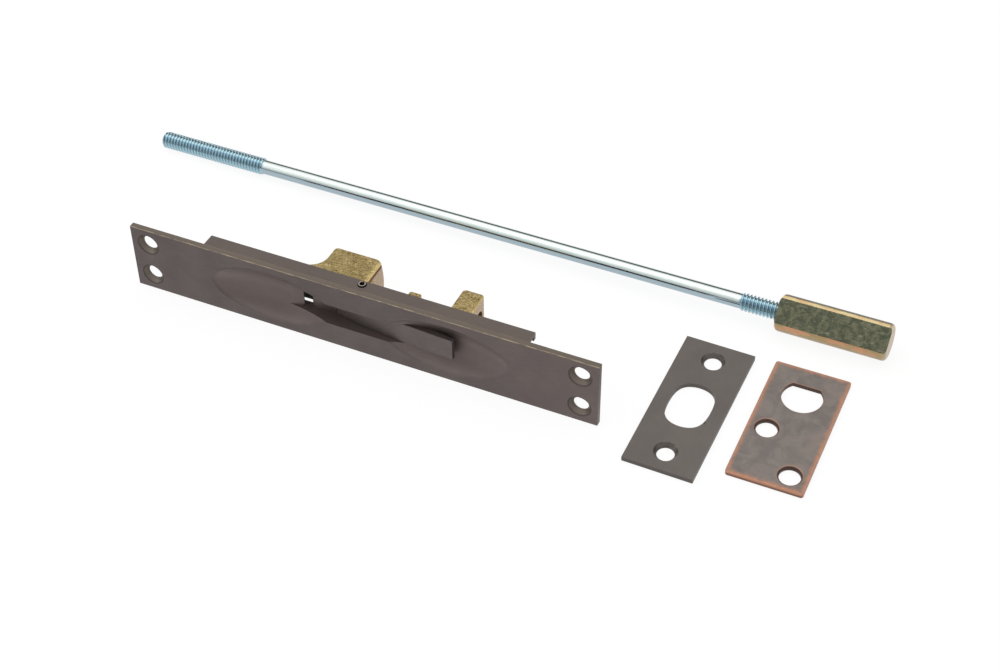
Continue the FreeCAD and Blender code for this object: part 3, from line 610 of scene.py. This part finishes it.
# Each hole's centre, as X and Y, and its radius: the bolt's D hole and the two screws'.
BOLT_HOLE, BOLT_HOLE_FLAT = (0.0, 13.2, 6.75), 4.9
SCREW_HOLES = ((-6.3, -3.55, 4.02), (6.55, -19.4, 4.02))
copper = Finish("AntiqueCopper")
here = copper.place(GUIDE_AT)
x, y, z = copper.parts(here)
wander = copper.noise(here, 0.45, 4, 0.65)
patina = copper.noise(here, 0.16, 5, 0.62, 0.6)
grit = copper.noise(here, 2.2, 4, 0.7)
edge = (GUIDE_HALF_WIDTH - x.abs()).min(GUIDE_HALF_LENGTH - y.abs())
bolt_gap, gap_a, gap_b = [
    (x - cx).span(y - cy) - radius for cx, cy, radius in (BOLT_HOLE, *SCREW_HOLES)]
bolt_gap = bolt_gap.max(y - (BOLT_HOLE[1] + BOLT_HOLE_FLAT))
mouth = bolt_gap.min(gap_a).min(gap_b).max(0.0)
# Copper rubbed through at the rims, painted brighter there as an edge highlight.
wear_and_edge_highlight = (edge - (wander - 0.5) * 2.0).step(2.6, -0.1)
wear_and_edge_highlight = wear_and_edge_highlight * wear_and_edge_highlight
body_colour = copper.mix(patina.step(0.35, 0.66), tone(114, 107, 103), tone(130, 121, 115))
body_colour = copper.mix(patina.step(0.58, 0.74) * 0.25, body_colour, tone(146, 118, 104))
body_colour = copper.mix(grit.step(0.56, 0.72) * 0.2, body_colour, tone(98, 91, 88))
colour = copper.mix(wear_and_edge_highlight * 0.8, body_colour, tone(190, 132, 100))
# Painted shade: the outer sides are painted dark.
colour = copper.mix(z.step(1.25, 0.95) * edge.step(0.3, 0.1) * 0.85, colour, tone(104, 78, 70))
colour = copper.mix((mouth - (wander - 0.5) * 0.5).step(0.5, 0.1) * 0.3, colour, tone(168, 112, 86))
# Painted shade: the walls of the holes are painted dark.
colour = copper.mix(mouth.step(0.1, 0.02) * z.step(1.72, 1.5), colour, tone(78, 60, 53))
copper_material = copper.finish(
    Base_Color=colour, Metallic=0.8, Roughness=0.46 - wear_and_edge_highlight * 0.1 + (grit - 0.5) * 0.16,
    Normal=copper.bump(grit * 0.5 + wander * 0.5, 0.02))
guide = broken_edges("guide_plate", 0.22, 3)
settle(guide, copper_material, "body", "antique_copper", "guide_plate")


# Studio: a white sweep under two soft square lamps, one over the pieces and a smaller one
# to their left. The sweep shows white to the eye and in metal, and still takes a shadow.
def lamp(name, spot, aim, size, power):
    """A square soft lamp at a spot, turned to its aim, in metres and watts."""
    data = bpy.data.lights.new(name, "AREA")
    data.shape = "SQUARE"
    data.size = size
    data.energy = power
    light = bpy.data.objects.new(name, data)
    light.location = spot
    light.rotation_euler = (Vector(aim) - Vector(spot)).to_track_quat("-Z", "Y").to_euler()
    bpy.context.scene.collection.objects.link(light)


lamp("Over", (-0.25, 0.1, 0.9), (0, 0, 0), 0.6, 1.0)
lamp("OverLeft", (-0.8, -0.4, 0.5), (0, 0, 0), 0.5, 0.8)

SWEEP_REACH, SWEEP_DROP, SWEEP_SHOWN = 6.0, 0.0002, 0.9
white = Finish("WhiteSweep")
white.finish(Base_Color=(0.9, 0.9, 0.9), Roughness=0.9, Specular_IOR_Level=0.0)
lit = white.node("ShaderNodeEmission", None, {"Color": (1, 1, 1, 1), "Strength": 1.0})
seen = white.node("ShaderNodeLightPath", out="Is Camera Ray")
for ray in ("Is Glossy Ray", "Is Transmission Ray"):
    seen = seen.max(white.node("ShaderNodeLightPath", out=ray))
plain = Field(white.tree, white.shader.outputs[0])
shown = white.node("ShaderNodeMixShader", None, {0: seen * SWEEP_SHOWN, 1: plain, 2: lit})
white.tree.links.new(shown.socket, white.tree.nodes["Material Output"].inputs[0])
floor_mesh = bpy.data.meshes.new("floor")
floor_mesh.from_pydata([(x * SWEEP_REACH, y * SWEEP_REACH, 0)
                        for x, y in ((-1, -1), (1, -1), (1, 1), (-1, 1))], [], [(0, 1, 2, 3)])
floor_mesh.materials.append(white.material)
floor = bpy.data.objects.new("floor", floor_mesh)
floor.location.z = -SWEEP_DROP
bpy.context.scene.collection.objects.link(floor)


# Room: plain walls round the pieces' long axis, from low behind them, over the top, to low
# in front, each with its turn as a share of the half circle and its level of grey.
ROOM = ((0.0, 0.14), (0.19, 0.16), (0.26, 1.35), (0.66, 1.35), (0.79, 0.85), (0.89, 0.80),
        (0.925, 0.34), (0.955, 0.34), (1.0, 0.85))
world = bpy.data.worlds.new("Studio")
bpy.context.scene.world = world
world.use_nodes = True
room = Nodes(world.node_tree)
x, y, z = room.parts(room.node("ShaderNodeTexCoord", out="Generated"))
wall = room.node("ShaderNodeValToRGB", {"stops": [(turn, (grey,) * 3) for turn, grey in ROOM]},
                 {0: z.math("ARCTAN2", z, y) / math.pi})
world.node_tree.links.new(wall.socket, world.node_tree.nodes["Background"].inputs["Color"])


# Camera: where the photograph was taken from, in metres, with its focal length in widths
# of the frame.
EYE_TURN, EYE_RISE, EYE_ROLL = math.radians(26.34), math.radians(45.94), math.radians(-2.80)
EYE_AIM, EYE_FAR = Vector((0.016755, -0.004616, 0.0)), 0.6227
EYE_FOCUS, SENSOR = 1.8569, 36.0
eye = bpy.data.cameras.new("Eye")
eye.sensor_width = SENSOR
eye.sensor_fit = "HORIZONTAL"
eye.lens = EYE_FOCUS * SENSOR
eye.clip_start = 0.01
to_eye = Vector((math.sin(EYE_TURN) * math.cos(EYE_RISE), -math.cos(EYE_TURN) * math.cos(EYE_RISE),
                 math.sin(EYE_RISE)))
right = Vector((math.cos(EYE_TURN), math.sin(EYE_TURN), 0))
above = to_eye.cross(right)
tilt_right = right * math.cos(EYE_ROLL) + above * math.sin(EYE_ROLL)
tilt_above = above * math.cos(EYE_ROLL) - right * math.sin(EYE_ROLL)
camera = bpy.data.objects.new("Eye", eye)
camera.matrix_world = Matrix.Translation(EYE_AIM + to_eye * EYE_FAR) @ Matrix(
    (tilt_right, tilt_above, to_eye)).transposed().to_4x4()
bpy.context.scene.collection.objects.link(camera)
bpy.context.scene.camera = camera
bpy.context.scene.view_settings.view_transform = "Standard"
